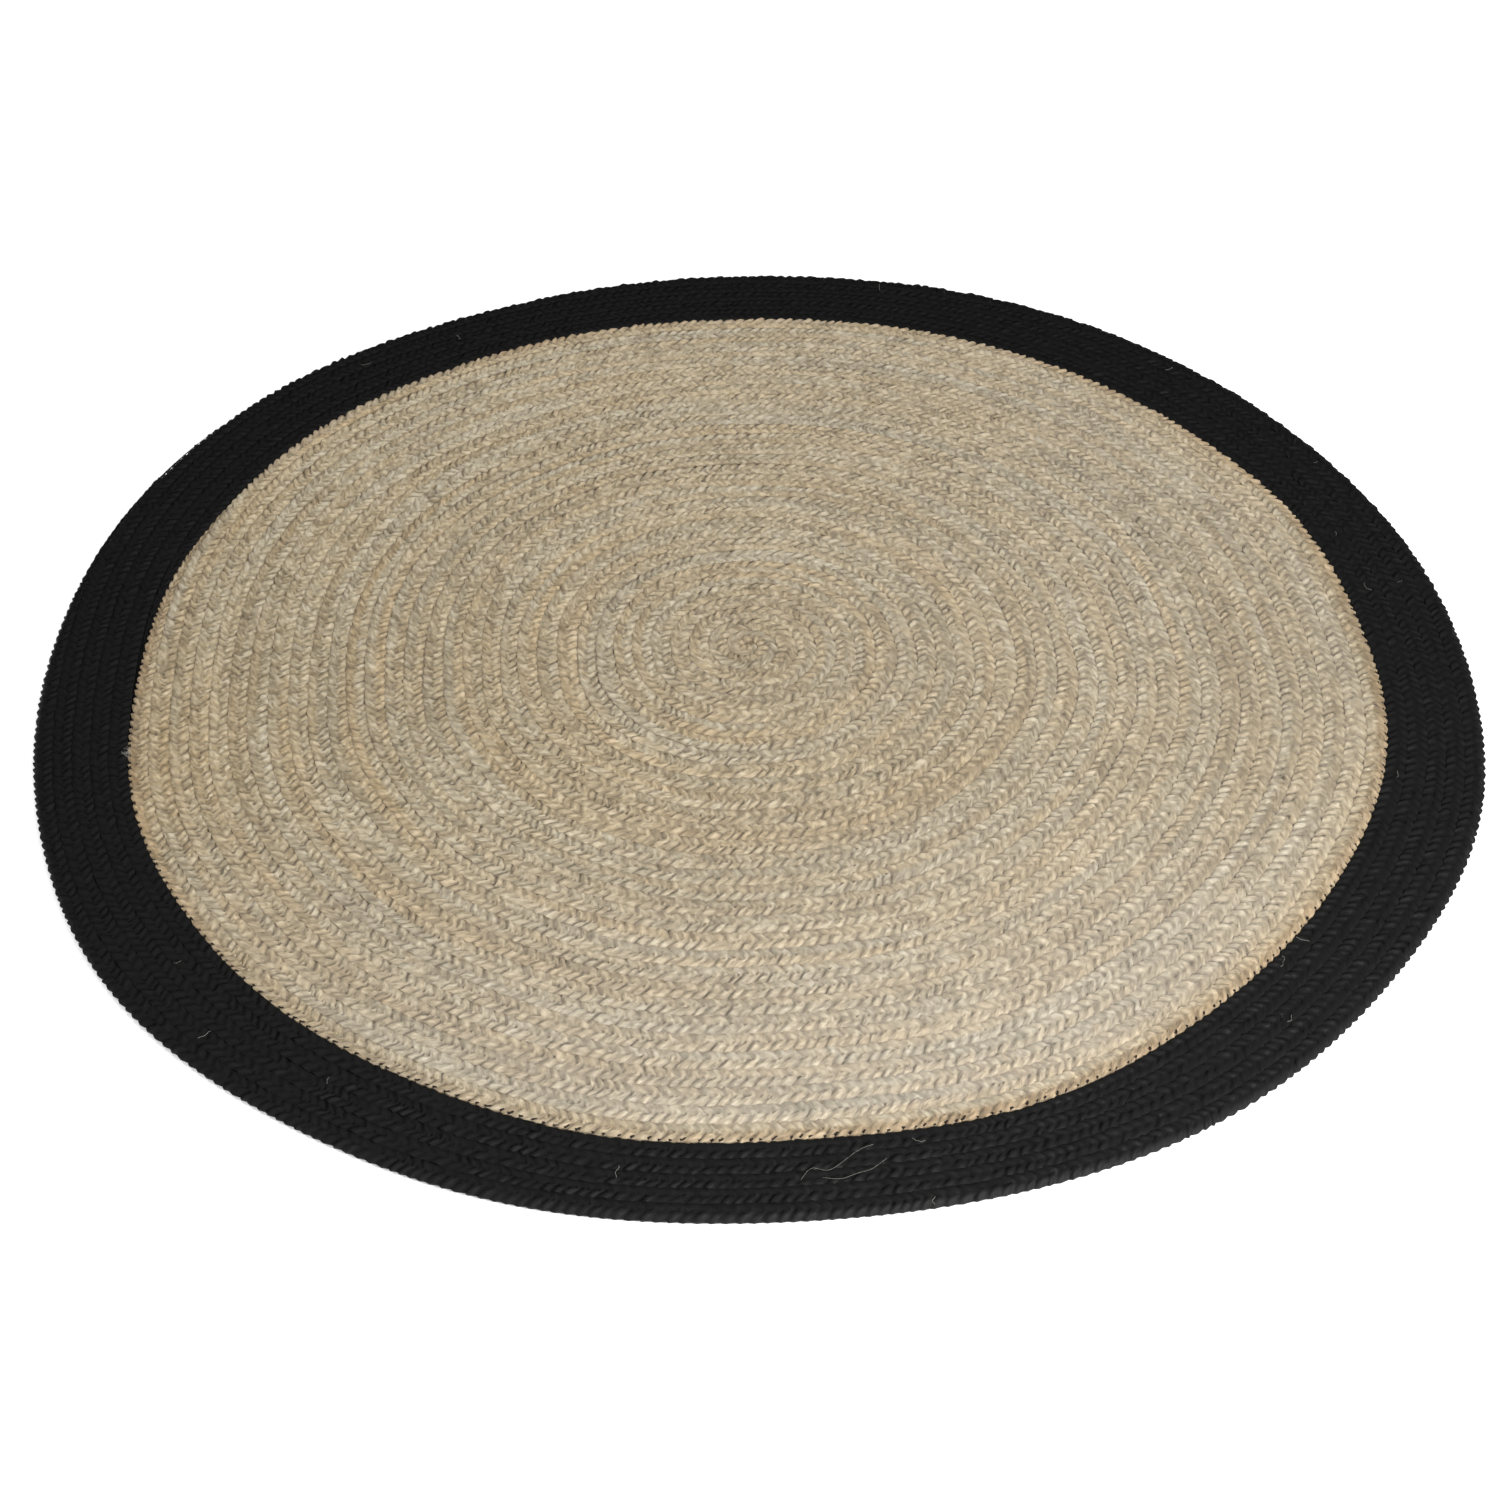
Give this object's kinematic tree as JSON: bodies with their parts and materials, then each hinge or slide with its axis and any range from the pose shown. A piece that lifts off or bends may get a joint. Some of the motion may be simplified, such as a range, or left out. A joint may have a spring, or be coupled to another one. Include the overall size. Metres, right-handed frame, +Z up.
{
  "type": "round jute rug",
  "caption": "Flat round rug of natural jute braid wound in a spiral and sewn edge to edge, with a wide black braided border.",
  "frame": {"origin": "middle of the rug's outline, on its underside", "axes": "+Z up from the floor, +Y away from the viewer of the picture, +X to the viewer's right"},
  "size_m": [1.1952, 1.1896, 0.009],
  "materials": {
    "natural_jute": "matt natural jute braid, beige with paler and browner streaks",
    "black_jute": "matt black dyed jute braid"
  },
  "bodies": {
    "root": {"jute_field": "natural_jute", "black_border": "black_jute"}
  },
  "joints": []
}
